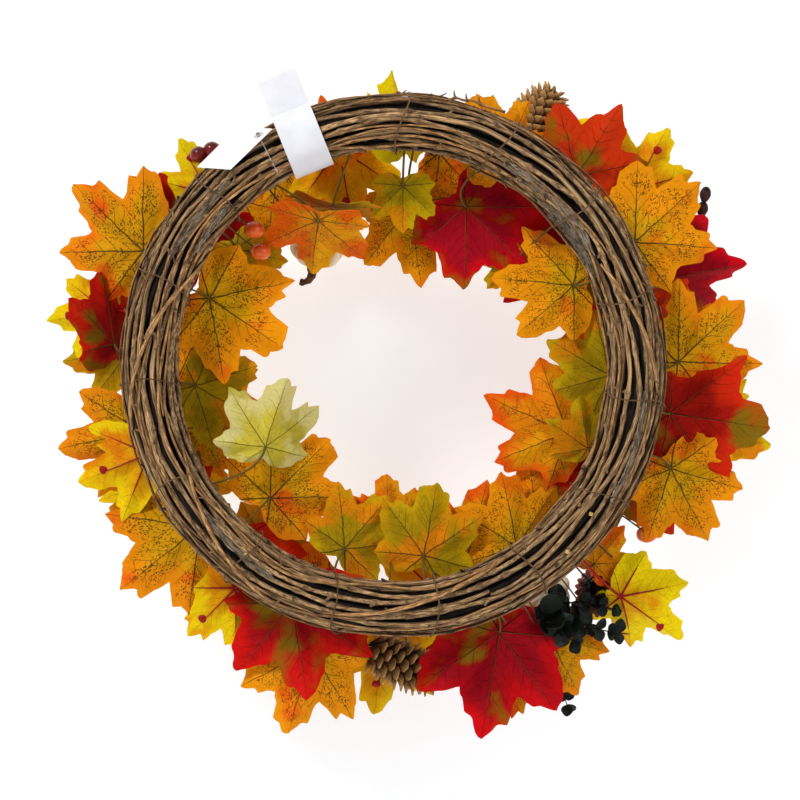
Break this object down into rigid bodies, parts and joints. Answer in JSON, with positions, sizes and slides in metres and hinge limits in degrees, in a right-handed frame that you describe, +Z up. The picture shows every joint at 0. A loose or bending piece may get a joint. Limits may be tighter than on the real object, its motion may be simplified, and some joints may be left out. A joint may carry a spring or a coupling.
{
  "type": "harvest door wreath",
  "caption": "Grapevine ring wreath covered in silk maple leaves in autumn colours, with pine cones, cream pumpkins, berries and sprigs, a paper sleeve and a swinging hang tag.",
  "frame": {"origin": "the point at the top of the ring's inside, where a hook or nail carries the wreath", "axes": "+Z up as it hangs, -Y out of the leafy front, +Y to the door; +X is to the left of a viewer looking at the back"},
  "size_m": [0.6267, 0.1477, 0.5754],
  "materials": {
    "vine": "dried grapevine, grey-brown with tan edges",
    "bark": "peeling grey bark",
    "twig": "thin dark twig",
    "gold_leaf": "printed stiffened fabric, golden orange with speckles",
    "yellow_leaf": "printed stiffened fabric, yellow with dark red veins",
    "red_leaf": "printed stiffened fabric, red with green patches",
    "olive_leaf": "printed stiffened fabric, olive with brown veins",
    "coral_leaf": "printed stiffened fabric, coral to orange",
    "lime_leaf": "printed stiffened fabric, pale lime",
    "leaf_stem": "moulded stem",
    "wire": "paper-wrapped florist wire",
    "pinecone": "dry pine cone scales",
    "pinecone_dark": "dark dry pine cone scales",
    "pumpkin": "cream painted foam",
    "pumpkin_stem": "dark brown stem",
    "rosehip": "dark red",
    "seed_pod": "nearly black red",
    "berry": "red-orange",
    "eucalyptus": "dark grey-green",
    "glue": "set hot-melt glue, amber",
    "sleeve_paper": "white paper",
    "filament": "clear filament",
    "tag_card": "white card"
  },
  "bodies": {
    "wreath": {"vine_core": "vine", "vine_1": "vine", "vine_2": "vine", "vine_3": "vine", "vine_4": "vine", "thin_canes": "vine", "bark_strips": "bark", "loose_twig": "twig", "binding_ties": "twig", "gold_leaves_upper_right": "gold_leaf", "gold_leaves_lower_right": "gold_leaf", "gold_leaves_lower_left": "gold_leaf", "gold_leaves_left": "gold_leaf", "yellow_leaves_top": "yellow_leaf", "yellow_leaves_upper_right": "yellow_leaf", "yellow_leaves_lower_right": "yellow_leaf", "yellow_leaves_bottom": "yellow_leaf", "yellow_leaves_left": "yellow_leaf", "red_leaves_upper_right": "red_leaf", "red_leaves_right": "red_leaf", "red_leaves_bottom": "red_leaf", "red_leaves_lower_left": "red_leaf", "red_leaves_left": "red_leaf", "olive_leaves_outside": "olive_leaf", "coral_leaves_outside": "coral_leaf", "gold_leaves_inner_top": "gold_leaf", "gold_leaves_inner_left": "gold_leaf", "gold_leaves_inner_bottom": "gold_leaf", "olive_leaves_inner_top": "olive_leaf", "olive_leaves_inner_left": "olive_leaf", "olive_leaves_inner_right": "olive_leaf", "coral_leaves_inner": "coral_leaf", "red_leaves_inner": "red_leaf", "lime_leaf": "lime_leaf", "gold_leaves_front": "gold_leaf", "red_leaves_front": "red_leaf", "yellow_leaves_front": "yellow_leaf", "olive_leaves_front": "olive_leaf", "coral_leaves_front": "coral_leaf", "leaf_stems_outer": "leaf_stem", "leaf_stems_inner": "leaf_stem", "leaf_stems_front": "leaf_stem", "pick_wires": "wire", "pinecone_top": "pinecone", "pinecone_bottom": "pinecone", "pinecone_dark": "pinecone_dark", "pinecone_small": "pinecone", "pumpkin_left": "pumpkin", "pumpkin_left_stem": "pumpkin_stem", "pumpkin_right": "pumpkin", "pumpkin_right_stem": "pumpkin_stem", "rosehips": "rosehip", "seed_pods": "seed_pod", "berries": "berry", "eucalyptus_sprigs": "eucalyptus", "glue_dabs": "glue"},
    "sleeve": {"paper_sleeve": "sleeve_paper"},
    "fastener": {"tag_fastener": "filament"},
    "tag": {"hang_tag": "tag_card"}
  },
  "joints": [
    {"name": "sleeve_slide", "type": "hinge", "parent": "wreath", "child": "sleeve", "pos_m": [0, 0, -0.1805], "axis": [0, 1, 0], "range_deg": [-3, 3]},
    {"name": "fastener_swing", "type": "hinge", "parent": "wreath", "child": "fastener", "pos_m": [0.0975, 0.02073, -0.01824], "axis": [-0.8572, 0, 0.515], "range_deg": [0, 60]},
    {"name": "tag_swing", "type": "hinge", "parent": "fastener", "child": "tag", "pos_m": [0.1124, 0.02925, 0.011], "axis": [0, 1, 0], "range_deg": [-30, 150]}
  ]
}
